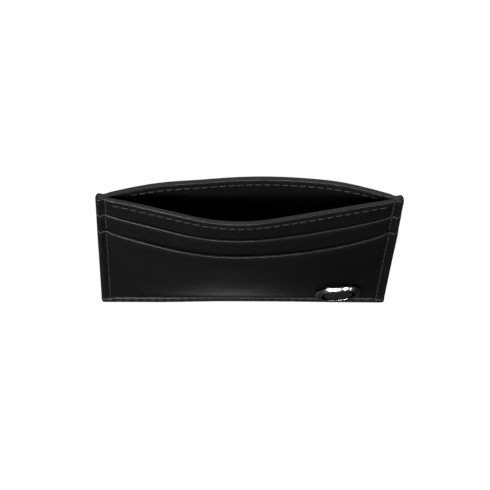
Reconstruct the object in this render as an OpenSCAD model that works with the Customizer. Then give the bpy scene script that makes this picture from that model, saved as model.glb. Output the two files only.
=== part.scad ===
// Card holder standing upright on its bottom edge with its centre pocket open.
// Two lined leather walls are sewn together down both sides and along the foot.
// Each wall carries two card slots on its outer face, and the front one has a metal emblem.
// X runs along the width, Y from the front (-) to the rear (+), Z up. All sizes are millimetres.
// The origin is the middle of the bottom edge, on the plane where the two halves meet.

/* [Overall] */
// Width across the side seams, at the foot
holder_w = 100; // [98:0.5:106]
// Height from the bottom edge to the mouth
holder_h = 70; // [68:0.5:74]
// How much narrower the mouth is than the foot
mouth_draw = 1.6; // [0:0.1:3]

/* [Open mouth] */
// How far the front wall bows out at the mouth
front_bow = 7.75; // [5:0.25:10]
// How far the rear wall bows out at the mouth
rear_bow = 7; // [5:0.25:10]
// Angle of the front's belly: above 90 the wall curls back in towards the mouth
front_belly = 110; // [60:1:120]
// Angle of the rear's belly
rear_belly = 82; // [60:1:120]

/* [Card slots] */
// Depth of the upper slot edge below the mouth
slot_drop = 9.25; // [8:0.25:10]
// Depth of the pocket edge below the mouth
pocket_drop = 18.75; // [16:0.25:20]
// Slack between the wall and the upper slot panel
slot_slack = 0.3; // [0.1:0.05:0.6]
// Slack between the upper slot panel and the pocket panel
pocket_slack = 0.5; // [0.3:0.05:0.8]

/* [Leather and fabric] */
// Thickness of the wall leather
wall_t = 1; // [0.8:0.05:1.2]
// Thickness of the upper slot leather
slot_t = 0.55; // [0.4:0.05:0.8]
// Thickness of the pocket leather
pocket_t = 0.7; // [0.6:0.05:0.9]
// Thickness of the lining
lining_t = 0.3; // [0.2:0.05:0.4]
// Thickness of the stiffener between lining and wall
stiffener_t = 0.2; // [0.1:0.05:0.3]
// Thickness of the fabric that backs the slots
fabric_t = 0.12; // [0.1:0.01:0.2]

/* [Edges] */
// Edge paint outside the side seams and under the foot
edge_coat = 0.4; // [0.3:0.05:0.5]
// Edge paint along the mouth and the slots
rim_coat = 0.3; // [0.2:0.05:0.4]

/* [Stitching] */
// Distance between needle holes
stitch_pitch = 2.9; // [2.5:0.1:3.5]
// Share of the pitch that a stitch shows
stitch_share = 0.68; // [0.5:0.02:0.8]
// Thickness of the seam and mouth thread
thread_d = 0.4; // [0.3:0.05:0.5]
// Depth of the mouth stitching below the mouth
rim_stitch_drop = 2.8; // [2.5:0.1:3.2]

/* [Emblem] */
// Width of the emblem
emblem_w = 15.8; // [14:0.2:18]
// Height of the emblem
emblem_h = 13; // [10:0.2:14]
// Distance of the emblem to the right of the middle
emblem_x = 32.6; // [26:0.2:34]
// Height of the emblem's middle above the foot
emblem_z = 12.4; // [10:0.1:13]

/* [Hidden] */

front = -1;
rear = 1;

leather_black = [0.07, 0.07, 0.075];
slot_black = [0.09, 0.09, 0.095];
lining_black = [0.05, 0.05, 0.05];
board_grey = [0.3, 0.28, 0.26];
fabric_black = [0.12, 0.12, 0.12];
coat_black = [0.14, 0.14, 0.15];
thread_black = [0.2, 0.2, 0.2];
metal_grey = [0.62, 0.62, 0.65];

// Outline of the leather, inside the edge paint
half_w = holder_w / 2 - edge_coat;
rim_z = holder_h - rim_coat;
slot_z = holder_h - slot_drop;
pocket_z = holder_h - pocket_drop;

// The seam: the walls stay flat outside bow_half and below bow_foot
side_margin = 3.4;
foot_margin = 2;
bow_half = holder_w / 2 - side_margin;
bow_foot = 3;

// The stiffener, clear of every seam, and the line where the slots close at the sides
board_half = holder_w / 2 - 7;
board_foot = 8;
board_top = holder_h - 5;
slack_half = holder_w / 2 - 5;

// The slot panels: their backing hangs lower, and their lower edge is pared thin
backing_foot = 14;
pare_top = 45;
pare_foot = 38;
pared_t = 0.1;

// Grid that every sheet shares, so that neighbouring sheets meet face to face
wide_cols = [for (i = [0 : 6]) i / 6 * board_half];
seam_cols = [slack_half, bow_half, half_w - 0.7 * side_margin, half_w];
half_cols = concat(wide_cols, seam_cols);
board_cols = mirrored(wide_cols);
all_cols = mirrored(half_cols);
foot_rows = [edge_coat, 1.8, bow_foot, board_foot, backing_foot, 20, 26, 32, pare_foot, pare_top];
mouth_rows = [
    pocket_z - rim_coat, (pocket_z + slot_z) / 2, slot_z - rim_coat,
    board_top, holder_h - rim_stitch_drop, rim_z
];
all_rows = concat(foot_rows, mouth_rows);

function mirrored(half) = concat(
    [for (i = [len(half) - 1 : -1 : 1]) -half[i]],
    half
);
function between(list, low, high) = [for (v = list) if (v >= low - 0.01 && v <= high + 0.01) v];

// ---------- The bowed walls ----------

// Bow amount, its peak, lean and ripple at the foot and at the mouth, and the belly angle
front_shape = [front_bow, [-0.1, 0.085], [0.025, -0.075], [-0.01, -0.03], front_belly];
rear_shape = [rear_bow, [-0.08, -0.08], [0.065, 0.065], [0.01, 0.01], rear_belly];

function shape_of(side) = side == front ? front_shape : rear_shape;
function climb(z) = max(0, (z - bow_foot) / (holder_h - bow_foot));
function at_height(pair, t) = pair[0] + (pair[1] - pair[0]) * t * t;
function wave(u, peak, lean, ripple) =
    cos(90 * u) + peak * cos(270 * u) + lean * sin(180 * u) + ripple * sin(360 * u);

// Distance that a wall stands off the middle plane
function bow(side, x, z) =
    let (
        shape = shape_of(side),
        t = climb(z),
        u = max(-1, min(1, x / bow_half)),
        crest = wave(u, at_height(shape[1], t), at_height(shape[2], t), at_height(shape[3], t))
    )
    shape[0] * sin(shape[4] * t) / sin(shape[4]) * crest;

// A place on a wall, given its distance outwards from the inner face of the lining
function place(side, x, z, off) = [
    x * (1 - mouth_draw / holder_w * z / holder_h),
    side * (bow(side, x, z) + off),
    z
];

// ---------- The stack of sheets ----------

// Leather swells at a cut edge and is pressed thin along the stitching
function press(x, z) =
    let (reach = min((half_w - abs(x)) / side_margin, (z - edge_coat) / foot_margin))
    lookup(reach, [[0, 1.15], [0.7, 0.8], [0.88, 0.8], [1.35, 1]]);

// Room between two sheets: none at the sides or at their shared seam, full a little above it
function slack(x, z, seam_z, room) =
    room * (1 - pow(min(1, abs(x) / slack_half), 4)) * max(0, min(1, (z - seam_z) / 11));

function on_board(x, z) = abs(x) <= board_half + 0.01 && z >= board_foot && z <= board_top ? 1 : 0;
function pare(z) = lookup(z, [[pare_foot, pared_t], [pare_top, slot_t]]);
function slot_leather(z) = z < pare_foot ? 0 : pare(z);
function backing(z) = z < backing_foot ? 0 : fabric_t;

// Each function gives the distance of one surface from the inner face of the lining
lining_out = function (x, z) lining_t * press(x, z);
board_out = function (x, z) lining_out(x, z) + stiffener_t * on_board(x, z);
wall_out = function (x, z) board_out(x, z) + wall_t * press(x, z);
backing_in = function (x, z) wall_out(x, z) + slack(x, z, backing_foot, slot_slack);
backing_out = function (x, z) backing_in(x, z) + backing(z) * press(x, z);
slot_out = function (x, z) backing_out(x, z) + slot_leather(z) * press(x, z);
facing_in = function (x, z) slot_out(x, z) + slack(x, z, bow_foot, pocket_slack);
facing_out = function (x, z) facing_in(x, z) + fabric_t * press(x, z);
pocket_out = function (x, z) facing_out(x, z) + pocket_t * press(x, z);
lining_in = function (x, z) 0;

// The outermost surface of the stack at a height
function skin(x, z) =
    z <= pocket_z ? pocket_out(x, z) : z <= slot_z ? slot_out(x, z) : wall_out(x, z);

function flipped(face) = [face[2], face[1], face[0]];

// A closed sheet between two surfaces, on a grid of columns and rows
module sheet(side, cols, rows, inner, outer) {
    n = len(cols);
    m = len(rows);
    points = concat(
        [for (z = rows) for (x = cols) place(side, x, z, inner(x, z))],
        [for (z = rows) for (x = cols) place(side, x, z, outer(x, z))]
    );
    out = n * m;
    shell = [
        for (j = [0 : m - 2]) for (i = [0 : n - 2])
            let (a = j * n + i, b = a + 1, c = b + n, d = a + n)
            each [
                [out + a, out + b, out + c], [out + a, out + c, out + d],
                [c, b, a], [d, c, a]
            ]
    ];
    ends = [
        for (i = [0 : n - 2])
            let (a = i, b = i + 1, c = (m - 1) * n + i, d = c + 1)
            each [
                [a, b, out + b], [a, out + b, out + a],
                [d, c, out + d], [c, out + c, out + d]
            ]
    ];
    sides = [
        for (j = [0 : m - 2])
            let (a = j * n, d = a + n, b = a + n - 1, c = b + n)
            each [
                [a, out + a, out + d], [a, out + d, d],
                [c, out + b, b], [c, out + c, out + b]
            ]
    ];
    faces = concat(shell, ends, sides);
    polyhedron(points, side == rear ? faces : [for (f = faces) flipped(f)], convexity = 8);
}

// A bead of edge paint on the top edge of a sheet, drawn in along its top
module bead(side, z, inner, outer) {
    draw = 0.12;
    low = z - rim_coat;
    sheet(
        side, all_cols, [low, z],
        function (x, h) inner(x, low) + (h > low ? draw : 0),
        function (x, h) outer(x, low) - (h > low ? draw : 0)
    );
}

module lining(side) {
    color(lining_black) sheet(side, all_cols, all_rows, lining_in, lining_out);
}

module stiffener(side) {
    rows = between(all_rows, board_foot, board_top);
    color(board_grey) sheet(side, board_cols, rows, lining_out, board_out);
}

module wall(side) {
    color(leather_black) sheet(side, all_cols, all_rows, board_out, wall_out);
}

module slot_backing(side) {
    rows = between(all_rows, backing_foot, slot_z - rim_coat);
    color(fabric_black) sheet(side, all_cols, rows, backing_in, backing_out);
}

module slot_panel(side) {
    rows = between(all_rows, pare_foot, slot_z - rim_coat);
    color(slot_black) sheet(side, all_cols, rows, backing_out, slot_out);
}

module pocket_facing(side) {
    rows = between(all_rows, edge_coat, pocket_z - rim_coat);
    color(fabric_black) sheet(side, all_cols, rows, facing_in, facing_out);
}

module pocket_panel(side) {
    rows = between(all_rows, edge_coat, pocket_z - rim_coat);
    color(leather_black) sheet(side, all_cols, rows, facing_out, pocket_out);
}

// ---------- Stitching ----------

module stitch(a, b, d) {
    run = b - a;
    reach = norm(run);
    translate(a)
        rotate([0, acos(run[2] / reach), atan2(run[1], run[0])])
            cylinder(h = reach, d = d, $fn = 16);
}

// One stitch that lies on a surface between two grid places
module surface_stitch(side, from, to, off, d) {
    stitch(place(side, from[0], from[1], off), place(side, to[0], to[1], off), d);
}

thread_clear = 0.06;
thread_seat = thread_d / 2 + thread_clear;
stitch_len = stitch_pitch * stitch_share;

// The mouth row: stitches outside the wall, and inside it where the two linings stand apart
module rim_thread(side) {
    z = holder_h - rim_stitch_drop;
    count = floor((bow_half - 1.6) / stitch_pitch);
    color(thread_black)
        for (i = [-count : count]) {
            from = [i * stitch_pitch - stitch_len / 2, z];
            to = [i * stitch_pitch + stitch_len / 2, z];
            outside = max(wall_out(from[0], z), wall_out(to[0], z)) + thread_seat;
            surface_stitch(side, from, to, outside, thread_d);
            if (abs(i * stitch_pitch) < board_half - 1)
                surface_stitch(side, from, to, -thread_seat, thread_d);
        }
}

// The hidden row that closes the upper slot, between its backing and the pocket facing
module slot_thread(side) {
    z = backing_foot + 2;
    fine_d = 0.16;
    count = floor(34 / stitch_pitch);
    color(thread_black)
        for (i = [-count : count]) {
            from = [i * stitch_pitch - stitch_len / 2, z];
            to = [i * stitch_pitch + stitch_len / 2, z];
            off = (slot_out(from[0], z) + facing_in(to[0], z)) / 2;
            surface_stitch(side, from, to, off, fine_d);
        }
}

// The seam row: down both sides and along the foot, on the outermost sheet
module seam_thread(side) {
    x = half_w - 0.77 * side_margin;
    foot = 1.8;
    rise_count = floor((holder_h - foot - 3) / stitch_pitch);
    run_count = floor((x - stitch_pitch / 2) / stitch_pitch);
    color(thread_black) {
        for (hand = [-1, 1])
            for (i = [0 : rise_count]) {
                low = foot + 0.6 + i * stitch_pitch;
                high = low + stitch_len;
                off = max(skin(x, low), skin(x, high)) + thread_seat;
                surface_stitch(side, [hand * x, low], [hand * x, high], off, thread_d);
            }
        for (i = [-run_count : run_count]) {
            from = [i * stitch_pitch - stitch_len / 2, foot];
            to = [i * stitch_pitch + stitch_len / 2, foot];
            surface_stitch(side, from, to, skin(to[0], foot) + thread_seat, thread_d);
        }
    }
}

// ---------- Painted edges ----------

module rim_paint(side) {
    color(coat_black) bead(side, holder_h, lining_in, wall_out);
}

module slot_paint(side) {
    color(coat_black) bead(side, slot_z, backing_in, slot_out);
}

module pocket_paint(side) {
    color(coat_black) bead(side, pocket_z, facing_in, pocket_out);
}

// Half of the stack seen end on, from the foot up to the mouth
function edge_profile(side) = concat(
    [for (z = between(foot_rows, 0, pocket_z)) [side * pocket_out(half_w, z), z]],
    [[side * pocket_out(half_w, pocket_z - rim_coat), pocket_z]],
    [[side * slot_out(half_w, pocket_z), pocket_z]],
    [[side * slot_out(half_w, slot_z - rim_coat), slot_z]],
    [[side * wall_out(half_w, slot_z), slot_z]],
    [[side * wall_out(half_w, rim_z), holder_h]]
);

function backwards(list) = [for (i = [len(list) - 1 : -1 : 0]) list[i]];

// The outline that rounds the two lower corners, as seen from the front
module rounded_front() {
    corner = 1.3;
    straight = holder_w / 2 - corner;
    rotate([90, 0, 0])
        linear_extrude(4 * side_margin, center = true) {
            translate([-straight, 0]) square([2 * straight, holder_h]);
            translate([-holder_w / 2, corner]) square([holder_w, holder_h]);
            for (hand = [-1, 1])
                translate([hand * straight, corner]) circle(corner, $fn = 48);
        }
}

module edge_paint(hand) {
    draw_angle = atan(mouth_draw / 2 / holder_h);
    outline = concat(edge_profile(rear), backwards(edge_profile(front)));
    color(coat_black)
        intersection() {
            mirror([hand < 0 ? 1 : 0, 0, 0])
                translate([half_w, 0, 0])
                    rotate([0, -draw_angle, 0])
                        rotate([90, 0, 90])
                            linear_extrude(edge_coat) polygon(outline);
            rounded_front();
        }
}

// A flat strip that the holder stands on, painted in three lengths with hairline joints
foot_joint = 0.1;
module foot_paint() {
    depth = 2 * pocket_out(0, edge_coat);
    run = holder_w / 3;
    color(coat_black)
        for (i = [-1 : 1])
            intersection() {
                translate([i * run - (run - foot_joint) / 2, -depth / 2, 0])
                    cube([run - foot_joint, depth, edge_coat]);
                rounded_front();
            }
}

// ---------- Emblem ----------

post_d = 1;
post_gap = 8;
plate_t = 0.5;
ring_w = 1.9;
ring_t = 1.9;
boss_t = 1.3;
washer_t = 0.28;
stand_off = 0.12;
washer_low = -pocket_t + 0.06;

// Lays an object drawn facing +Z on the front pocket panel, at the emblem's place
module on_pocket() {
    near = 5;
    here = place(front, emblem_x, emblem_z, pocket_out(emblem_x, emblem_z));
    left = place(front, emblem_x - near, emblem_z, pocket_out(emblem_x - near, emblem_z));
    right = place(front, emblem_x + near, emblem_z, pocket_out(emblem_x + near, emblem_z));
    under = place(front, emblem_x, emblem_z - near, pocket_out(emblem_x, emblem_z - near));
    over = place(front, emblem_x, emblem_z + near, pocket_out(emblem_x, emblem_z + near));
    turn = atan2(right[1] - left[1], right[0] - left[0]);
    lean = atan2(under[1] - over[1], over[2] - under[2]);
    translate(here) rotate([0, 0, turn]) rotate([90 + lean, 0, 0]) children();
}

// An oval with straight sides and round ends
module oval(w, h) {
    square([w - h, h], center = true);
    for (hand = [-1, 1])
        translate([hand * (w - h) / 2, 0]) circle(h / 2, $fn = 64);
}

module post_holes(d, low, high) {
    for (hand = [-1, 1])
        translate([hand * post_gap / 2, 0, low]) cylinder(h = high - low, d = d, $fn = 32);
}

module emblem_ring() {
    color(metal_grey)
        on_pocket() {
            translate([0, 0, stand_off]) {
                linear_extrude(plate_t) oval(emblem_w - 1, emblem_h - 1);
                linear_extrude(ring_t)
                    difference() {
                        oval(emblem_w, emblem_h);
                        oval(emblem_w - 2 * ring_w, emblem_h - 2 * ring_w);
                    }
            }
            post_holes(post_d, washer_low, stand_off + 0.1);
        }
}

module emblem_centre() {
    gap = 1;
    w = emblem_w - 2 * ring_w - 2 * gap;
    h = emblem_h - 2 * ring_w - 2 * gap;
    step = 0.4;
    color(metal_grey)
        on_pocket()
            translate([0, 0, stand_off + plate_t]) {
                linear_extrude(boss_t - step) oval(w, h);
                linear_extrude(boss_t) oval(w - step, h - step);
            }
}

// An oval plate with two holes, set into the back of the leather, that the posts are riveted to
module washer_plate() {
    color(metal_grey)
        on_pocket()
            difference() {
                translate([0, 0, washer_low]) linear_extrude(washer_t) oval(post_gap + 3.4, 3.4);
                post_holes(post_d + 0.06, washer_low - 1, 0);
            }
}

// The front pocket is drilled for the posts, and its back is recessed for the washer
module drilled_pocket() {
    color(leather_black)
        difference() {
            pocket_panel(front);
            on_pocket() {
                post_holes(post_d + 0.1, -2, 1);
                translate([0, 0, washer_low - 1]) linear_extrude(washer_t + 1) oval(post_gap + 3.7, 3.7);
            }
        }
}

lining(front);  // front_lining
stiffener(front);  // front_stiffener
wall(front);  // front_wall
slot_backing(front);  // front_slot_backing
slot_panel(front);  // front_slot_panel
pocket_facing(front);  // front_pocket_facing
drilled_pocket();  // front_pocket_panel
lining(rear);  // rear_lining
stiffener(rear);  // rear_stiffener
wall(rear);  // rear_wall
slot_backing(rear);  // rear_slot_backing
slot_panel(rear);  // rear_slot_panel
pocket_facing(rear);  // rear_pocket_facing
pocket_panel(rear);  // rear_pocket_panel
rim_thread(front);  // front_rim_thread
rim_thread(rear);  // rear_rim_thread
slot_thread(front);  // front_slot_thread
slot_thread(rear);  // rear_slot_thread
seam_thread(front);  // front_seam_thread
seam_thread(rear);  // rear_seam_thread
rim_paint(front);  // front_rim_coat
rim_paint(rear);  // rear_rim_coat
slot_paint(front);  // front_slot_coat
slot_paint(rear);  // rear_slot_coat
pocket_paint(front);  // front_pocket_coat
pocket_paint(rear);  // rear_pocket_coat
edge_paint(-1);  // left_edge_coat
edge_paint(1);  // right_edge_coat
foot_paint();  // bottom_edge_coat
emblem_ring();  // emblem_frame
emblem_centre();  // emblem_boss
washer_plate();  // emblem_washer
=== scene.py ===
"""Card holder: two stitched leather halves with an open centre pocket and an oval metal emblem.

Every soft piece is laid out flat, as it is cut, and is then formed round the bowed halves.
"""
from math import atan2, ceil, cos, pi, radians, sin

import bpy
import numpy as np
from bpy.props import FloatProperty, FloatVectorProperty, PointerProperty
from mathutils import Matrix, Vector


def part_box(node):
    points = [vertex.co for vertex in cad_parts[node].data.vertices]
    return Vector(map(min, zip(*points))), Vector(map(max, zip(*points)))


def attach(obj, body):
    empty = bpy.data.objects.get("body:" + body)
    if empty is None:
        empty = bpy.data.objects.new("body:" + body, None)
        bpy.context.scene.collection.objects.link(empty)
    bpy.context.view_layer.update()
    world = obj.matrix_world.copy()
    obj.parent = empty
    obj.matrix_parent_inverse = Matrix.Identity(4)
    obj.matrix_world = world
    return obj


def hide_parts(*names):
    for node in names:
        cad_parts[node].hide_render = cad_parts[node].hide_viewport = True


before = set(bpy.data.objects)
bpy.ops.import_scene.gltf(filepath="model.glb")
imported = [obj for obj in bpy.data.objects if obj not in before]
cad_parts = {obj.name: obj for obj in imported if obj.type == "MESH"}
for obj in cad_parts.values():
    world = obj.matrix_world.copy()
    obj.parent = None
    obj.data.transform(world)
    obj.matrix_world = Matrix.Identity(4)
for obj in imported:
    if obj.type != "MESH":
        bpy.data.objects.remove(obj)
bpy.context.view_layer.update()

bl_info = {
    "name": "Card Holder",
    "version": (1, 0, 0),
    "blender": (4, 5, 0),
    "location": "View3D > Sidebar > Card Holder",
    "description": "Makes the leather, lining, thread, edge paint and emblem of a card holder",
    "category": "Object",
}

BODY = "root"
FRONT, REAR = -1, 1
SIDES = {"front": FRONT, "rear": REAR}
MM = 0.001


# ---------- Sizes, read from the frame where it has them ----------

def top_of(node):
    return round(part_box(node)[1].z, 5)


def foot_of(node):
    return round(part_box(node)[0].z, 5)


def length(name, description, default, low=0.0, high=0.2):
    return FloatProperty(
        name=name, description=description, default=default, min=low, max=high,
        unit="LENGTH", subtype="DISTANCE", precision=5,
    )


def share(name, description, default, low=-1.0, high=2.0):
    return FloatProperty(name=name, description=description, default=default, min=low, max=high)


def angle(name, description, default):
    return FloatProperty(
        name=name, description=description, default=radians(default), subtype="ANGLE", unit="ROTATION",
    )


def colour(name, description, default):
    return FloatVectorProperty(
        name=name, description=description, default=default, size=3, min=0, max=1, subtype="COLOR",
    )


def power(name, description, default):
    return FloatProperty(name=name, description=description, default=default, unit="POWER")


class HolderSize(bpy.types.PropertyGroup):
    """The holder's outline, its layers and how far its mouth stands open"""

    half_width: length(
        "Half width", "From the middle to the side edge, at the foot",
        round(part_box("right_edge_coat")[1].x, 4))
    height: length("Height", "From the foot to the mouth", top_of("front_rim_coat"))
    slot_top: length("Slot edge", "Height of the upper slot's edge", top_of("front_slot_coat"))
    pocket_top: length("Pocket edge", "Height of the pocket's edge", top_of("front_pocket_coat"))
    edge_coat: length(
        "Edge paint", "Paint outside the sides and under the foot", top_of("bottom_edge_coat"))
    rim_coat: length(
        "Rim paint", "Paint along the mouth and the slots",
        round(top_of("front_rim_coat") - foot_of("front_rim_coat"), 5))
    mouth_draw: share("Mouth draw", "Share of the width that the mouth is narrower", 0.016)
    side_margin: length("Side margin", "Width of the sewn side margin", 3.4 * MM)
    foot_margin: length("Foot margin", "Height of the sewn foot margin", 2 * MM)
    corner: length("Corner", "Radius of the two lower corners", 1.6 * MM)
    shoulder: length("Shoulder", "Radius of the two upper corners", 0.9 * MM)
    bow_foot: length("Bow foot", "Height at which the halves part", 3 * MM)
    front_bow: length("Front bow", "How far the front stands off the middle at the mouth", 7.75 * MM)
    rear_bow: length("Rear bow", "How far the rear stands off the middle at the mouth", 7 * MM)
    front_belly: angle("Front belly", "Above 90 degrees the front curls back in towards the mouth", 110)
    rear_belly: angle("Rear belly", "Above 90 degrees the rear curls back in towards the mouth", 82)
    lining: length("Lining", "Thickness of the lining", 0.3 * MM)
    board: length("Stiffener", "Thickness of the stiffener", 0.2 * MM)
    wall: length("Wall", "Thickness of the wall leather", 1 * MM)
    fabric: length("Fabric", "Thickness of the slot fabric", 0.12 * MM)
    slot: length("Slot leather", "Thickness of the upper slot leather", 0.55 * MM)
    pocket: length("Pocket leather", "Thickness of the pocket leather", 0.7 * MM)
    slot_slack: length("Slot slack", "Room behind the upper slot", 0.3 * MM)
    pocket_slack: length("Pocket slack", "Room behind the pocket", 0.5 * MM)


class StitchSize(bpy.types.PropertyGroup):
    """The thread, the needle holes and the dents that they leave"""

    pitch: length("Pitch", "Distance between needle holes", 2.9 * MM)
    thread: length("Thread", "Thickness of the thread", 0.46 * MM)
    slant: angle("Slant", "Slant of each stitch", 5)
    rim_row: length(
        "Rim row", "Height of the stitching under the mouth",
        round((top_of("front_rim_thread") + foot_of("front_rim_thread")) / 2, 5))
    seam_inset: length("Seam inset", "From the leather's side edge to the seam row", 2.75 * MM)
    foot_row: length("Foot row", "Height of the seam row along the foot", 1.5 * MM)
    first_rise: length("First rise", "Height of the lowest side stitch", 3.4 * MM)
    hole_dent: length("Hole dent", "Depth of the dent round a needle hole", 0.16 * MM)
    row_dent: length("Row dent", "Depth of the groove that the thread pulls in", 0.07 * MM)
    crease: length("Crease", "Depth of the line creased along the inside of the seam", 0.12 * MM)
    ledge: length("Ledge", "How far the foot margin stands out from the leather above it", 0.24 * MM)
    seam_sink: share("Seam sink", "How much deeper the seam thread lies than the rim thread", 1.8, 0, 4)


class EmblemSize(bpy.types.PropertyGroup):
    """The oval emblem on the front pocket"""

    across: length("Width", "Width of the emblem", 15.8 * MM)
    tall: length("Height", "Height of the emblem", 14 * MM)
    right: length("To the right", "From the middle to the emblem", 32.6 * MM)
    up: length("Up", "From the foot to the emblem's middle", 12.4 * MM)
    ring: length("Ring", "Width of the ring", 1.9 * MM)
    proud: length("Proud", "Thickness of the ring", 1.9 * MM)
    slope: length("Slope", "Width of the ring's sloping outer face", 0.6 * MM)
    fall: length("Fall", "How far the sloping outer face falls", 1.08 * MM)
    plate: length("Plate", "Thickness of the plate behind the ring", 0.5 * MM)
    boss: length("Boss", "Thickness of the centre boss", 1.3 * MM)
    stand_off: length("Stand off", "Room between plate and leather", 0.12 * MM)
    post_gap: length("Post gap", "Distance between the two posts", 8 * MM)


class Finish(bpy.types.PropertyGroup):
    """Colours and surface scale"""

    leather: colour("Leather", "Dyed calf leather", (0.004, 0.004, 0.0043))
    rubbed: colour("Rubbed leather", "Leather where it is rubbed", (0.03, 0.03, 0.031))
    lining: colour("Lining", "Lining leather", (0.0032, 0.0032, 0.0034))
    fabric: colour("Fabric", "Slot fabric", (0.016, 0.016, 0.018))
    board: colour("Board", "Fibre stiffener", (0.16, 0.14, 0.12))
    paint: colour("Edge paint", "Painted edges", (0.014, 0.014, 0.0148))
    thread: colour("Thread", "Waxed thread", (0.034, 0.034, 0.035))
    metal: colour("Emblem metal", "Plated emblem", (0.8, 0.8, 0.82))
    pebble: length("Pebble", "Size of one pebble of the grain", 0.5 * MM)
    weave: length("Weave", "Distance between the fabric's ribs", 0.45 * MM)


class StageLook(bpy.types.PropertyGroup):
    """Camera, lights and floor"""

    camera: FloatVectorProperty(
        name="Camera", description="Place of the camera", default=(-0.0204, -0.2697, 0.5353),
        size=3, unit="LENGTH", subtype="TRANSLATION", precision=4)
    azimuth: angle("Azimuth", "Turn of the camera round the holder", -4.2)
    elevation: angle("Elevation", "How far the camera looks down", 61.45)
    roll: angle("Roll", "Turn of the camera about its own line of sight", 4)
    lens: FloatProperty(
        name="Lens", description="Focal length on a 36 mm sensor", default=124.3,
        min=20, max=300, unit="CAMERA")
    key: power("Key", "Power of the front left light", 8.8)
    back: power("Back", "Power of the high back light", 1.4)
    spark: power("Spark", "Power of the small light on the metal", 0.14)
    sky: share("Sky", "Strength of the soft light all round", 0.06, 0, 4)
    # Bounce and pool set the floor's painted glow: a painted falloff, brighter on the left, and a painted
    # pool of light in front of the foot
    bounce: share("Bounce", "Light that the floor throws back on the holder", 0.03, 0, 4)
    pool: share("Pool", "Extra bounce right in front of the foot", 0.55, 0, 4)


# ---------- Where every layer lies ----------

def smooth(t):
    """0 below 0, 1 above 1, and an even rise between."""
    t = np.clip(t, 0, 1)
    return t * t * (3 - 2 * t)


def fade(distance, over):
    """0 where distance is below 0, and an even rise to 1 over the width given."""
    return smooth(distance / over)


def knots(value, places, heights):
    """A smooth line through heights at places."""
    places, heights = np.asarray(places, float), np.asarray(heights, float)
    index = np.clip(np.searchsorted(places, value) - 1, 0, len(places) - 2)
    t = smooth((value - places[index]) / (places[index + 1] - places[index]))
    return heights[index] + (heights[index + 1] - heights[index]) * t


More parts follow.
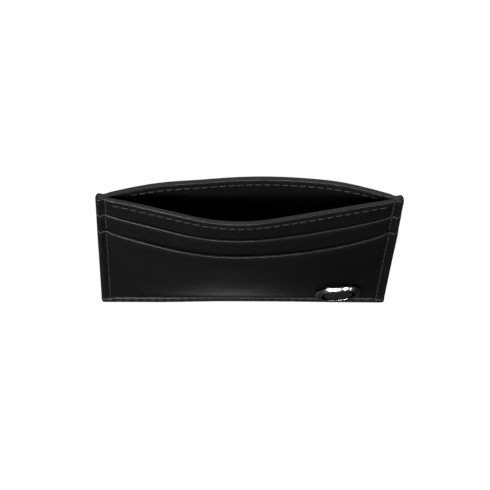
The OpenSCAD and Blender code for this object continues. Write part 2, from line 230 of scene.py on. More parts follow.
class Pattern:
    """The flat pattern and the bowed form: x runs across, z up, and off outwards from the lining."""

    # Peak, lean and ripple of the bow: at the foot, then at the mouth
    WAVES = {
        FRONT: ((-0.1, 0.025, -0.01), (0.085, -0.075, -0.03)),
        REAR: ((-0.08, 0.065, 0.01), (-0.08, 0.065, 0.01)),
    }
    # How far both shoulders of the rear's bow have settled, and the height of the waves of hand work
    SETTLED, WAVER = 0.5 * MM, 0.035 * MM
    # Seam margins in from the cut edge, and the share of its thickness that the leather has there
    SIDE_PRESS = (0, 0.1, 0.3, 0.6, 0.8, 1.25, 99), (0.84, 1.04, 1.06, 0.8, 0.8, 1, 1)
    FOOT_PRESS = (0, 0.2, 0.6, 1.15, 2, 99), (0.84, 1.03, 1.08, 0.87, 1, 1)
    # Millimetres that the foot spreads in the middle, and how much more at its left and right ends
    SPREAD, LEFT_SPREAD, RIGHT_SPREAD = 0.22, 0.5, 0.24
    # Reach of a needle hole's dent and of the thread's groove
    HOLE_REACH, GROOVE_REACH = 0.42 * MM, 0.55 * MM
    # Millimetres from the side seam to the creased line, and its reach
    CREASE_IN, CREASE_REACH = 1.75, 0.42
    # Radius over which a cut edge rolls in, and the share of it that it rolls
    ROLL, ROLLED = 0.45 * MM, 0.12

    def __init__(self, scene):
        self.size, self.stitch, self.emblem = scene.holder_size, scene.holder_stitch, scene.holder_emblem
        s = self.size
        self.edge = s.half_width - s.edge_coat
        self.bow_edge = s.half_width - s.side_margin
        self.slack_edge = s.half_width - 5 * MM
        self.row_end = self.bow_edge - 1.6 * MM
        self.board_edge = round(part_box("front_stiffener")[1].x, 3)
        self.board_foot, self.board_top = foot_of("front_stiffener"), top_of("front_stiffener")
        self.backing_foot = foot_of("front_slot_backing")
        self.panel_foot = foot_of("front_slot_panel")
        self.rim = s.height - s.rim_coat
        self.seam_x = self.edge - self.stitch.seam_inset

    # The bow

    def bow(self, side, x, z):
        s = self.size
        t = np.clip((z - s.bow_foot) / (s.height - s.bow_foot), 0, 1.02)
        u = np.clip(x / self.bow_edge, -1, 1) * pi / 2
        low, high = self.WAVES[side]
        peak, lean, ripple = (a + (b - a) * t * t for a, b in zip(low, high))
        crest = np.cos(u) + peak * np.cos(3 * u) + lean * np.sin(2 * u) + ripple * np.sin(4 * u)
        depth, belly = (s.front_bow, s.front_belly) if side == FRONT else (s.rear_bow, s.rear_belly)
        settled = self.SETTLED * (side == REAR) * t * t * np.sin(2.5 * u) ** 2 * np.cos(u)
        return depth * np.sin(belly * t) / sin(belly) * crest - settled + self.unevenness(side, x, z)

    def unevenness(self, side, x, z):
        """Slow waves of hand work, which fade out at the seams."""
        room = fade(self.slack_edge - np.abs(x), over=12 * MM) * fade(z - 6 * MM, over=12 * MM)
        slow = np.sin(x * 190 + side) * np.sin(z * 230 + 1.1) + 0.6 * np.sin(x * 330 - z * 150 + 2 * side)
        return self.WAVER * room * slow

    def round_corner(self, x, z):
        """Rounds the four corners of the flat pattern."""
        radius = np.where(z < self.size.height / 2, self.size.corner, self.size.shoulder)
        hand = np.sign(x)
        across = np.abs(x) - (self.edge - radius)
        low = (self.size.edge_coat + radius) - z
        high = z - (self.rim - radius)
        rise = np.maximum(low, high)
        inside = (across > 0) & (rise > 0)
        a = np.clip(across / radius, 0, 1)
        r = np.clip(rise / radius, 0, 1)
        new_across = a * np.sqrt(1 - r * r / 2) * radius
        new_rise = r * np.sqrt(1 - a * a / 2) * radius
        x = np.where(inside, hand * (self.edge - radius + new_across), x)
        z = np.where(inside, z + np.where(low > high, 1, -1) * (rise - new_rise), z)
        return x, z

    def narrowed(self, x, z):
        """The holder is a little narrower at its mouth than at its foot."""
        return x * (1 - self.size.mouth_draw * z / self.size.height)

    def form(self, side, x, z, off):
        """Places of the flat pattern's points on a bowed half."""
        x, z = self.round_corner(x, z)
        return np.stack([self.narrowed(x, z), side * (self.bow(side, x, z) + off), z], axis=-1)

    # The stack

    def press(self, x, z):
        """Leather swells at a cut edge and is pressed thin along the seam."""
        s = self.size
        side = knots((self.edge - np.abs(x)) / s.side_margin, *self.SIDE_PRESS)
        foot = knots((z - s.edge_coat) / s.foot_margin, *self.FOOT_PRESS)
        return (1 + (side - 1) * fade(z - 1.5 * MM, over=4 * MM)) * foot

    def flare(self, x, z):
        """The foot spreads a little where the holder stands on it, most at its ends."""
        left, right = fade(-x - 4 * MM, over=28 * MM), fade(x - 10 * MM, over=30 * MM)
        spread = (self.SPREAD + self.LEFT_SPREAD * left + self.RIGHT_SPREAD * right) * MM
        return spread * np.exp(-((z / (2.2 * MM)) ** 2))

    def slack(self, x, z, seam, room):
        """A sheet that is sewn at the sides and at seam stands off by room in its middle."""
        half = 1 - np.minimum(1, np.abs(x) / self.slack_edge) ** 4
        return room * half * fade(z - seam, over=15 * MM)

    def on_board(self, x, z):
        """1 over the stiffener, fading to 0 past its edges."""
        across = fade(self.bow_edge - np.abs(x), over=5 * MM)
        low = fade(z - self.size.bow_foot, over=9 * MM)
        high = fade(self.stitch.rim_row - z, over=4 * MM)
        return across * low * high

    def layers(self, x, z):
        """How far each surface of the stack lies outside the inner face of the lining."""
        s, press = self.size, self.press(x, z)
        lining = s.lining * press
        board = lining + s.board * self.on_board(x, z)
        wall = board + s.wall * press
        backing_in = wall + self.slack(x, z, self.backing_foot, s.slot_slack)
        fabric = s.fabric * (0.3 + 0.7 * fade(z - self.backing_foot, over=6 * MM))
        backing = backing_in + fabric * fade(z - 6 * MM, over=self.backing_foot - 6 * MM) * press
        pared = fade(z - self.panel_foot + 9 * MM, over=18 * MM)
        slot = backing + s.slot * pared * press
        facing_in = slot + self.slack(x, z, s.bow_foot, s.pocket_slack)
        facing = facing_in + s.fabric * press
        pocket = facing + s.pocket * press + self.flare(x, z)
        return {
            "skin": np.zeros_like(lining), "lining": lining, "board": board, "wall": wall,
            "backing_in": backing_in, "backing": backing, "slot": slot,
            "facing_in": facing_in, "facing": facing, "pocket": pocket,
        }

    def face(self, name):
        """One surface of the stack, as a function of x and z."""
        return lambda x, z: self.layers(x, z)[name]

    def outermost(self, x, z):
        """The skin of the whole stack, with a short slope at each slot edge."""
        s, stack = self.size, self.layers(x, z)
        slope = 0.25 * MM
        past_pocket = fade(z - s.pocket_top + slope / 2, over=slope)
        past_slot = fade(z - s.slot_top + slope / 2, over=slope)
        upper = stack["slot"] + (stack["wall"] - stack["slot"]) * past_slot
        return stack["pocket"] + (upper - stack["pocket"]) * past_pocket

    # The dents that sewing leaves

    def row_dents(self, along, across, start, reach):
        """Dents of one straight row of stitches, whose holes lie half a pitch from its middle stitch."""
        st = self.stitch
        beat = (along - start) / st.pitch - 0.5
        to_hole = (beat - np.round(beat)) * st.pitch
        hole = st.hole_dent * np.exp(-(to_hole**2 + across**2) / self.HOLE_REACH**2)
        groove = st.row_dent * np.exp(-((across / self.GROOVE_REACH) ** 2))
        return (hole + groove) * reach

    def rim_dents(self, x, z):
        reach = fade(self.bow_edge - 0.5 * MM - np.abs(x), over=MM)
        return self.row_dents(x, z - self.stitch.rim_row, 0, reach)

    def seam_dents(self, x, z):
        """Dents of the side and foot rows, the creased line inside them and the foot margin's ledge."""
        st, from_seam = self.stitch, self.seam_x - np.abs(x)
        side = self.row_dents(z, np.abs(x) - self.seam_x, st.first_rise, fade(z - st.foot_row, over=MM))
        foot = self.row_dents(x, z - st.foot_row, 0, smooth(from_seam / MM + 0.5))
        inside = np.minimum(from_seam / MM, (z - st.foot_row) / MM + 0.75)
        crease = st.crease * np.exp(-(((inside - self.CREASE_IN) / self.CREASE_REACH) ** 2))
        step = fade(z - st.foot_row - 0.9 * MM, over=0.35 * MM) * fade(12 * MM - z, over=8 * MM)
        ledge = st.ledge * step * fade(from_seam, over=2 * MM)
        return st.seam_sink * np.maximum(side, foot) + crease + ledge

    def rolled(self, z, top):
        """How far the face of a sheet rolls in just under its cut top edge."""
        near = np.clip(1 - (top - z) / self.ROLL, 0, 1)
        return self.ROLLED * self.ROLL * (1 - np.sqrt(1 - near * near))

    def rubbing(self, x, z, top):
        """1 where hands and cards rub: the top edge, the side edges and the two lower corners."""
        from_side = self.edge - np.abs(x)
        rim = np.exp(-np.abs(top - z) / (0.9 * MM))
        side = np.exp(-from_side / (0.7 * MM))
        corner = np.exp(-np.hypot(from_side, z) / (3.5 * MM))
        return np.clip(rim + 0.8 * side + 0.7 * corner, 0, 1)


def graded(*stops):
    """Places from the first stop to the last, where each stop is a place and the step after it."""
    places = []
    for (low, step), (high, _) in zip(stops, stops[1:]):
        count = max(1, ceil((high - low) / step - 0.01))
        places += list(np.linspace(low, high, count + 1)[:-1])
    return np.array(places + [stops[-1][0]])


# ---------- Mesh tools ----------

def clear_selection():
    if bpy.context.object and bpy.context.object.mode != "OBJECT":
        bpy.ops.object.mode_set(mode="OBJECT")
    bpy.ops.object.select_all(action="DESELECT")


def pick(*pieces):
    """Selects these pieces alone, with the first of them active."""
    clear_selection()
    for piece in pieces:
        piece.select_set(True)
    bpy.context.view_layer.objects.active = pieces[0]


def named(name):
    """Gives the active piece and its mesh their name."""
    piece = bpy.context.object
    piece.name = piece.data.name = name
    return piece


def points_of(piece):
    points = np.empty(len(piece.data.vertices) * 3)
    piece.data.vertices.foreach_get("co", points)
    return points.reshape(-1, 3)


def move_points(piece, points):
    piece.data.vertices.foreach_set("co", np.asarray(points, float).ravel())
    piece.data.update()


def apply_modifier(piece, name, kind, **settings):
    modifier = piece.modifiers.new(name, kind)
    for key, value in settings.items():
        setattr(modifier, key, value)
    bpy.context.view_layer.objects.active = piece
    bpy.ops.object.modifier_apply(modifier=modifier.name)


def select_parts(kind, parts, wanted):
    """Selects the faces or edges for which wanted(part) is true, and stays in edit mode."""
    bpy.ops.object.mode_set(mode="EDIT")
    bpy.ops.mesh.select_mode(type=kind)
    bpy.ops.mesh.select_all(action="DESELECT")
    bpy.ops.object.mode_set(mode="OBJECT")
    for part in parts:
        part.select = wanted(part)
    bpy.ops.object.mode_set(mode="EDIT")


def blank_sheet(name, columns, rows):
    """A flat slab of one unit's thickness, with a grid of columns and rows on both faces."""
    clear_selection()
    bpy.ops.mesh.primitive_grid_add(x_subdivisions=columns - 1, y_subdivisions=rows - 1, size=2)
    slab = named(name)
    apply_modifier(slab, "Thickness", "SOLIDIFY", thickness=1, offset=1)
    return slab


def blank_tube(name, around, stations):
    """A straight tube with closed ends, one unit in radius and length, ringed at each station."""
    clear_selection()
    bpy.ops.mesh.primitive_cylinder_add(vertices=around, radius=1, depth=1, end_fill_type="NGON")
    tube = named(name)
    height = points_of(tube)[:, 2]

    def runs_along(edge):
        low, high = height[list(edge.vertices)]
        return abs(high - low) > 0.5

    select_parts("EDGE", tube.data.edges, runs_along)
    bpy.ops.mesh.subdivide(number_cuts=stations - 2)
    bpy.ops.object.mode_set(mode="OBJECT")
    return tube


def tube_places(tube, stations):
    """For each point of a blank tube, the number of its station and its angle round the tube."""
    points = points_of(tube)
    station = np.rint((points[:, 2] + 0.5) * (stations - 1)).astype(int)
    return station, np.arctan2(points[:, 1], points[:, 0])


def smooth_outward(piece, degrees):
    """Turns the faces outwards, and shades edges smooth where they bend less than degrees."""
    pick(piece)
    bpy.ops.object.mode_set(mode="EDIT")
    bpy.ops.mesh.select_all(action="SELECT")
    bpy.ops.mesh.normals_make_consistent(inside=False)
    bpy.ops.object.mode_set(mode="OBJECT")
    bpy.ops.object.shade_smooth_by_angle(angle=radians(degrees))


def set_attribute(piece, name, values):
    layer = piece.data.attributes.new(name, "FLOAT", "POINT")
    layer.data.foreach_set("value", np.asarray(values, np.float32))


def set_pattern_map(piece, across, up):
    """A UV map of the flat pattern, in tenths of a metre."""
    mesh = piece.data
    layer = mesh.uv_layers.active or mesh.uv_layers.new(name="Pattern")
    corners = np.empty(len(mesh.loops), int)
    mesh.loops.foreach_get("vertex_index", corners)
    places = np.stack([across[corners], up[corners]], axis=-1) * 10
    layer.data.foreach_set("uv", places.ravel())


def join(name, pieces):
    pick(*pieces)
    bpy.ops.object.join()
    return named(name)


def finish_piece(piece, material, slot, *nodes):
    """Gives a piece its material, and puts it in the place of CAD nodes."""
    piece.data.materials.clear()
    piece.data.materials.append(material)
    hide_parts(*nodes)
    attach(piece, BODY)


# ---------- Sheets ----------

# Width of the closely gridded strip along a cut edge, and how far a sheet is dented under the one over it
CUT_STRIP, UNDER_LAP = 0.6 * MM, 1.2 * MM


def form_sheet(name, side, columns, rows, inner, outer, top):
    """One sheet of leather, lining, fabric or board between two surfaces of the pattern."""
    pattern = Pattern(bpy.context.scene)
    sheet = blank_sheet(name, len(columns), len(rows))
    flat = points_of(sheet)
    x, z = (
        places[np.rint((flat[:, axis] + 1) / 2 * (len(places) - 1)).astype(int)]
        for axis, places in enumerate((columns, rows))
    )
    off = np.where(flat[:, 2] > 0.5, outer(x, z), inner(x, z))
    move_points(sheet, pattern.form(side, x, z, off))
    set_pattern_map(sheet, x, z)
    set_attribute(sheet, "rub", pattern.rubbing(x, z, top))
    smooth_outward(sheet, 50)
    return sheet


def mirrored(middle, right):
    """The middle columns, those right of them, and the same on the left."""
    return np.concatenate([-right[:0:-1], middle, right[1:]])


def sewn_columns(pattern):
    """Columns that are close together over the side seams."""
    reach, step = pattern.bow_edge - 0.8 * MM, 1.4 * MM
    middle = np.linspace(-reach, reach, ceil(2 * reach / step) + 1)
    return mirrored(middle, graded(
        (reach, 0.3 * MM), (pattern.edge - CUT_STRIP, 0.15 * MM), (pattern.edge, MM)))


def stitched_columns(pattern):
    """Columns that fall on every needle hole of the rows that run across."""
    step = pattern.stitch.pitch / 10
    count = int(pattern.row_end / step)
    middle = np.arange(-count, count + 1) * step
    return mirrored(middle, graded(
        (middle[-1], 0.2 * MM), (pattern.edge - CUT_STRIP, 0.12 * MM), (pattern.edge, MM)))


def cut_rows(top):
    """Stops for rows that are close together under a cut edge."""
    return (top - CUT_STRIP, 0.1 * MM), (top, MM)


def rim_rows(pattern):
    """Stops for rows that are close together over the stitching under the mouth."""
    row, reach = pattern.stitch.rim_row, 1.1 * MM
    return (row - reach, 0.16 * MM), (row + reach, 0.3 * MM), *cut_rows(pattern.rim)


def hidden_rows(pattern):
    """Stops for the rows down in the seam and over the covered part of a half."""
    return (pattern.size.edge_coat, 0.5 * MM), (4 * MM, 2.2 * MM)


class CARDHOLDER_OT_linings(bpy.types.Operator):
    """Forms the two linings of the centre pocket"""

    bl_idname = "cardholder.linings"
    bl_label = "Linings"

    def execute(self, context):
        pattern = Pattern(context.scene)
        columns = stitched_columns(pattern)
        rows = graded(*hidden_rows(pattern), *rim_rows(pattern))

        def inner(x, z):
            return 0.8 * pattern.rim_dents(x, z) * fade(pattern.slack_edge - np.abs(x), over=2 * MM)

        for word, side in SIDES.items():
            lining = form_sheet(
                f"{word}_lining_leather", side, columns, rows, inner, pattern.face("lining"), pattern.rim)
            finish_piece(lining, lining_material(), "lining", f"{word}_lining")
        return {"FINISHED"}


class CARDHOLDER_OT_stiffeners(bpy.types.Operator):
    """Forms the two fibre boards between lining and wall"""

    bl_idname = "cardholder.stiffeners"
    bl_label = "Stiffeners"

    def execute(self, context):
        pattern = Pattern(context.scene)
        columns = np.linspace(-pattern.board_edge, pattern.board_edge, 60)
        rows = np.linspace(pattern.board_foot, pattern.board_top, 40)
        for word, side in SIDES.items():
            board = form_sheet(
                f"{word}_stiffener_board", side, columns, rows,
                pattern.face("lining"), pattern.face("board"), pattern.board_top)
            finish_piece(board, board_material(), "board", f"{word}_stiffener")
        return {"FINISHED"}


class CARDHOLDER_OT_walls(bpy.types.Operator):
    """Forms the two wall leathers, which show between the mouth and the upper slot"""

    bl_idname = "cardholder.walls"
    bl_label = "Walls"

    def execute(self, context):
        pattern = Pattern(context.scene)
        columns = stitched_columns(pattern)
        shown = pattern.size.slot_top - UNDER_LAP
        rows = graded(*hidden_rows(pattern), (shown, 0.4 * MM), *rim_rows(pattern))

        def outer(x, z):
            dents = pattern.rim_dents(x, z) + pattern.seam_dents(x, z) * fade(z - shown, over=MM)
            return pattern.layers(x, z)["wall"] - dents - pattern.rolled(z, pattern.rim)

        for word, side in SIDES.items():
            wall = form_sheet(
                f"{word}_wall_leather", side, columns, rows, pattern.face("board"), outer, pattern.rim)
            finish_piece(wall, leather_material(), "leather", f"{word}_wall")
        return {"FINISHED"}


class CARDHOLDER_OT_slot_fabrics(bpy.types.Operator):
    """Forms the fabric behind the upper slots and the pockets"""

    bl_idname = "cardholder.slot_fabrics"
    bl_label = "Slot fabrics"

    def execute(self, context):
        pattern = Pattern(context.scene)
        size = pattern.size
        columns = sewn_columns(pattern)
        for word, side in SIDES.items():
            for name, low, top, under, over in (
                ("slot_backing", pattern.backing_foot, size.slot_top, "backing_in", "backing"),
                ("pocket_facing", size.edge_coat, size.pocket_top, "facing_in", "facing"),
            ):
                high = top - size.rim_coat
                rows = graded((low, MM), (low + 3 * MM, 2 * MM), (high, MM))
                fabric = form_sheet(
                    f"{word}_{name}_cloth", side, columns, rows,
                    pattern.face(under), pattern.face(over), high)
                finish_piece(fabric, fabric_material(), "slot_fabric", f"{word}_{name}")
        return {"FINISHED"}


class CARDHOLDER_OT_slot_panels(bpy.types.Operator):
    """Forms the upper slot leathers, whose lower edge is pared thin"""

    bl_idname = "cardholder.slot_panels"
    bl_label = "Slot panels"

    def execute(self, context):
        pattern = Pattern(context.scene)
        columns = stitched_columns(pattern)
        top = pattern.size.slot_top - pattern.size.rim_coat
        shown = pattern.size.pocket_top - UNDER_LAP
        rows = graded((pattern.panel_foot, 2 * MM), (shown, 0.36 * MM), *cut_rows(top))

        def outer(x, z):
            dents = pattern.seam_dents(x, z) * fade(z - shown, over=MM)
            return pattern.layers(x, z)["slot"] - dents * 0.8 - pattern.rolled(z, top)

        for word, side in SIDES.items():
            panel = form_sheet(
                f"{word}_slot_leather", side, columns, rows, pattern.face("backing"), outer, top)
            finish_piece(panel, leather_material(), "leather", f"{word}_slot_panel")
        return {"FINISHED"}


class CARDHOLDER_OT_pockets(bpy.types.Operator):
    """Forms the pocket leathers, the front one recessed behind for the emblem's washer"""

    bl_idname = "cardholder.pockets"
    bl_label = "Pockets"

    def execute(self, context):
        pattern = Pattern(context.scene)
        size, emblem = pattern.size, pattern.emblem
        columns = stitched_columns(pattern)
        top = size.pocket_top - size.rim_coat
        rows = graded(
            (size.edge_coat, 0.15 * MM), (size.edge_coat + CUT_STRIP, 0.2 * MM),
            (size.bow_foot + 2 * MM, 0.6 * MM), *cut_rows(top))

        def outer(x, z):
            return pattern.layers(x, z)["pocket"] - pattern.seam_dents(x, z) - pattern.rolled(z, top)

        def recessed(x, z):
            radius, depth, slope = 2 * MM, 0.33 * MM, 0.3 * MM
            across = np.maximum(0, np.abs(x - emblem.right) - emblem.post_gap / 2)
            from_edge = radius - np.hypot(across, z - emblem.up)
            return pattern.layers(x, z)["facing"] + depth * fade(from_edge, over=slope)

        for word, side in SIDES.items():
            inner = recessed if side == FRONT else pattern.face("facing")
            panel = form_sheet(f"{word}_pocket_leather", side, columns, rows, inner, outer, top)
            finish_piece(panel, leather_material(), "leather", f"{word}_pocket_panel")
        return {"FINISHED"}


# ---------- Thread ----------

STITCH_SIDES, STITCH_RINGS = 8, 8


def row_across(pattern, reach, height):
    """Stitches that run across at one height: x, z and whether each one rises."""
    pitch = pattern.stitch.pitch
    count = int(reach / pitch)
    return [(i * pitch, height, False) for i in range(-count, count + 1)]


def sew(name, side, stitches, surface, thick, inwards=False):
    """One stitch is made, copied to every place in stitches, and formed there.

    stitches holds x, z and whether each stitch rises instead of running across,
    and surface(x, z) is the face that they lie on.
    """
    pattern = Pattern(bpy.context.scene)
    first = blank_tube(name, STITCH_SIDES, STITCH_RINGS)
    ring, turn = tube_places(first, STITCH_RINGS)
    along = np.linspace(-1, 1, STITCH_RINGS)[ring]
    plump = 1 - 0.35 * along**4
    run = along * (pattern.stitch.pitch * 0.46)
    height = thick * (0.42 - 1.25 * along**6) + thick * 0.42 * np.sin(turn) * plump
    sideways = thick * 0.5 * np.cos(turn) * plump + run * np.tan(pattern.stitch.slant)
    made = []
    for x, z, rises in stitches:
        stitch = first.copy()
        stitch.data = first.data.copy()
        bpy.context.collection.objects.link(stitch)
        slim = 0.75 if rises else 1
        rest = surface(x + run * (not rises), z + run * rises)
        x = x + (slim * sideways if rises else run)
        z = z + (run if rises else sideways)
        off = rest - slim * height if inwards else rest + slim * height
        move_points(stitch, pattern.form(side, x, z, off))
        made.append(stitch)
    bpy.data.objects.remove(first)
    thread = join(name, made)
    smooth_outward(thread, 60)
    return thread


class CARDHOLDER_OT_rim_threads(bpy.types.Operator):
    """Sews the rows under the mouth, seen outside the walls and inside the linings"""

    bl_idname = "cardholder.rim_threads"
    bl_label = "Rim threads"

    def execute(self, context):
        pattern = Pattern(context.scene)
        st = pattern.stitch
        outside = row_across(pattern, pattern.row_end, st.rim_row)
        inside = [stitch for stitch in outside if abs(stitch[0]) < pattern.board_edge - MM]

        def face(x, z):
            return pattern.layers(x, z)["wall"] - st.row_dent

        def back(x, z):
            return np.full_like(x, st.row_dent)

        for word, side in SIDES.items():
            rows = [
                sew(f"{word}_rim_outside", side, outside, face, st.thread),
                sew(f"{word}_rim_inside", side, inside, back, st.thread, inwards=True),
            ]
            thread = join(f"{word}_rim_stitches", rows)
            finish_piece(thread, thread_material(), "thread", f"{word}_rim_thread")
        return {"FINISHED"}


class CARDHOLDER_OT_slot_threads(bpy.types.Operator):
    """Sews the hidden rows that close the upper slots"""

    bl_idname = "cardholder.slot_threads"
    bl_label = "Slot threads"

    def execute(self, context):
        pattern = Pattern(context.scene)
        row = row_across(pattern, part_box("front_slot_thread")[1].x, pattern.backing_foot + 2 * MM)
        for word, side in SIDES.items():
            thread = sew(f"{word}_slot_stitches", side, row, pattern.face("backing"), 0.2 * MM)
            finish_piece(thread, thread_material(), "thread", f"{word}_slot_thread")
        return {"FINISHED"}


class CARDHOLDER_OT_seam_threads(bpy.types.Operator):
    """Sews the seam rows down both sides and along the foot"""

    bl_idname = "cardholder.seam_threads"
    bl_label = "Seam threads"

    def execute(self, context):
        pattern = Pattern(context.scene)
        st = pattern.stitch
        rises = int((pattern.rim - st.first_rise) / st.pitch)
        stitches = [
            (hand * pattern.seam_x, st.first_rise + i * st.pitch, True)
            for hand in (-1, 1) for i in range(rises + 1)
        ]
        stitches += row_across(pattern, pattern.seam_x - st.pitch / 2, st.foot_row)

        def face(x, z):
            deeper = 0.1 * MM * fade(np.abs(x) - pattern.seam_x + 0.6 * MM, over=0.5 * MM)
            return pattern.outermost(x, z) - st.seam_sink * st.row_dent - deeper

        for word, side in SIDES.items():
            thread = sew(f"{word}_seam_stitches", side, stitches, face, st.thread)
            finish_piece(thread, thread_material(), "thread", f"{word}_seam_thread")
        return {"FINISHED"}


# ---------- Painted edges ----------

# Points round a bead, and stations along the mouth and the slots
BEAD_SIDES, BEAD_STATIONS = 18, 240


def dome(turn, height, sunk, fullness):
    """Height of a painted bead round its section: a dome above the cut edge, a little sunk below it."""
    lifted = np.sin(turn)
    return np.where(lifted > 0, height * np.abs(lifted) ** fullness, sunk * lifted)


def paint_edge(name, side, top, inner, outer):
    """A bead of edge paint that caps the top edge of a sheet, from one seam to the other."""
    pattern = Pattern(bpy.context.scene)
    coat, mouth = pattern.size.rim_coat, top > pattern.rim
    lip, wrap, uneven = 0.05 * MM, 0.5 * MM, 0.02 * MM
    # The mouth's paint ends short of the side edges, thinner there, and stands a little out from the wall
    short, over_wall, radius = (1.2 * MM, 0.2 * MM, 0.45 * MM) if mouth else (0, 0, coat)
    reach, low = pattern.edge - short, top - coat
    bead = blank_tube(name, BEAD_SIDES, BEAD_STATIONS)
    station, turn = tube_places(bead, BEAD_STATIONS)
    x = np.linspace(-reach, reach, BEAD_STATIONS)[station]
    taper = fade(reach - np.abs(x), over=2 * MM) if mouth else 1
    stack = pattern.layers(x, np.full_like(x, low))
    near, far = stack[inner], stack[outer] - pattern.rolled(low, low) + over_wall * taper
    half = (far - near) / 2 + lip * taper
    corner = np.minimum(radius, half)
    across = np.sign(np.cos(turn)) * (half - corner) + corner * np.cos(turn)
    wander = uneven * np.sin(x * 900) * np.sin(x * 370 + 1)
    z = low + dome(turn, (coat + wander - uneven) * (0.4 + 0.6 * taper), wrap, 1)
    move_points(bead, pattern.form(side, x, z, (far + near) / 2 + across))
    smooth_outward(bead, 60)
    return bead


class CARDHOLDER_OT_rim_coats(bpy.types.Operator):
    """Paints the edges of the mouth, the upper slots and the pockets"""

    bl_idname = "cardholder.rim_coats"
    bl_label = "Rim coats"

    def execute(self, context):
        size = context.scene.holder_size
        for word, side in SIDES.items():
            for name, top, inner, outer in (
                ("rim", size.height, "skin", "wall"),
                ("slot", size.slot_top, "backing_in", "slot"),
                ("pocket", size.pocket_top, "facing_in", "pocket"),
            ):
                bead = paint_edge(f"{word}_{name}_paint", side, top, inner, outer)
                finish_piece(bead, paint_material(), "edge_paint", f"{word}_{name}_coat")
        return {"FINISHED"}


def paint_route(name, route):
    """A bead of edge paint round the whole stack.

    route holds x and z on the leather's outline, the direction outwards, the paint's height,
    and the share of the stack's depth that it covers.
    """
    pattern = Pattern(bpy.context.scene)
    route = np.array(route, float)
    bead = blank_tube(name, 20, len(route))
    station, turn = tube_places(bead, len(route))
    x, z, out_x, out_z, coat, cover = route[station].T
    skin = cover * (pattern.outermost(x, z) + 0.02 * MM)
    wander = 1 + 0.05 * np.sin(station * 0.9) * np.sin(station * 0.37 + 1)
    height = dome(turn, 1, 0.15, 0.62) * coat * wander
    y = skin * np.sign(np.cos(turn)) * np.abs(np.cos(turn)) ** 0.75
    x, z = x + out_x * height, z + out_z * height
    move_points(bead, np.stack([pattern.narrowed(x, z), y, z], axis=-1))
    smooth_outward(bead, 60)
    return bead


def corner_arc(centre, radius, start, stop, coats, count=9):
    """Places along a rounded corner of the outline."""
    for i in range(count):
        t = i / (count - 1)
        turn = radians(start + (stop - start) * t)
        coat = coats[0] + (coats[1] - coats[0]) * t
        yield (centre[0] + radius * cos(turn), centre[1] + radius * sin(turn), cos(turn), sin(turn), coat, 1)


class CARDHOLDER_OT_side_coats(bpy.types.Operator):
    """Paints the two sewn side edges, round the lower corner and over the top of the seam"""

    bl_idname = "cardholder.side_coats"
    bl_label = "Side coats"

    def execute(self, context):
        pattern = Pattern(context.scene)
        size, edge = pattern.size, pattern.edge
        low, high = size.edge_coat + size.corner, pattern.rim - size.shoulder
        low_x, turn_x = edge - size.corner, edge - size.shoulder
        coarse, fine, near = 0.9 * MM, 0.12 * MM, 0.4 * MM
        steps = [
            stop for top in (size.pocket_top, size.slot_top)
            for stop in ((top - near, fine), (top + near, coarse))
        ]
        rises = graded((low, coarse), *steps, (high, MM))
        fade_out = (1, 1, 0.98, 0.94, 0.86, 0.7, 0.4)
        over = np.linspace(turn_x, pattern.bow_edge - 0.4 * MM, len(fade_out) + 1)[1:]
        outline = [
            *corner_arc((low_x, low), size.corner, -90, 0, (size.edge_coat, size.edge_coat)),
            *((edge, z, 1, 0, size.edge_coat, 1) for z in rises[1:-1]),
            *corner_arc((turn_x, high), size.shoulder, 0, 90, (size.edge_coat, size.rim_coat)),
            *((x, pattern.rim, 0, 1, size.rim_coat * f, f) for x, f in zip(over, fade_out)),
        ]
        for word, hand in (("left", -1), ("right", 1)):
            route = [(hand * x, z, hand * out_x, *rest) for x, z, out_x, *rest in outline]
            bead = paint_route(f"{word}_side_paint", route)
            finish_piece(bead, paint_material(), "edge_paint", f"{word}_edge_coat")
        return {"FINISHED"}


class CARDHOLDER_OT_foot_coat(bpy.types.Operator):
    """Paints the foot that the holder stands on"""

    bl_idname = "cardholder.foot_coat"
    bl_label = "Foot coat"

    def execute(self, context):
        pattern = Pattern(context.scene)
        coat = pattern.size.edge_coat
        reach = pattern.edge - pattern.size.corner
        route = [(x, coat, 0, -1, coat * 0.97, 1) for x in np.linspace(-reach, reach, 120)]
        bead = paint_route("foot_paint", route)
        finish_piece(bead, paint_material(), "edge_paint", "bottom_edge_coat")
        return {"FINISHED"}


# ---------- Emblem ----------

def emblem_place():
    """The matrix that lays an object drawn facing +Z on the front pocket, where the emblem goes."""
    pattern = Pattern(bpy.context.scene)
    near = 5 * MM

    def on_leather(dx, dz):
        x, z = np.array([pattern.emblem.right + dx]), np.array([pattern.emblem.up + dz])
        return pattern.form(FRONT, x, z, pattern.layers(x, z)["pocket"])[0]

    across = on_leather(near, 0) - on_leather(-near, 0)
    up = on_leather(0, near) - on_leather(0, -near)
    turn = Matrix.Rotation(atan2(across[1], across[0]), 4, "Z")
    lean = Matrix.Rotation(pi / 2 + atan2(-up[1], up[2]), 4, "X")
    return Matrix.Translation(Vector(on_leather(0, 0))) @ turn @ lean


def oval_block(name, across, tall, low, high, sides=64):
    """An oval block with straight long sides, from low to high along +Z."""
    clear_selection()
    bpy.ops.mesh.primitive_cylinder_add(
        vertices=sides, radius=tall / 2, depth=high - low, location=(0, 0, (low + high) / 2),
        rotation=(0, 0, pi / sides))
    block = named(name)
    bpy.ops.object.transform_apply(location=True, rotation=True, scale=True)
    points = points_of(block)
    points[:, 0] += np.sign(points[:, 0]) * (across - tall) / 2
    move_points(block, points)
    return block


def soften(piece, width, segments, sharpest):
    """Rounds the edges that bend by more than sharpest degrees."""
    apply_modifier(
        piece, "Soft edges", "BEVEL", width=width, segments=segments, limit_method="ANGLE",
        angle_limit=radians(sharpest), harden_normals=False)


def set_recess_shade(piece, top, over):
    """Marks what lies below top as down in the emblem's recess, where shade is painted."""
    set_attribute(piece, "recess", fade(top - points_of(piece)[:, 2], over=over))


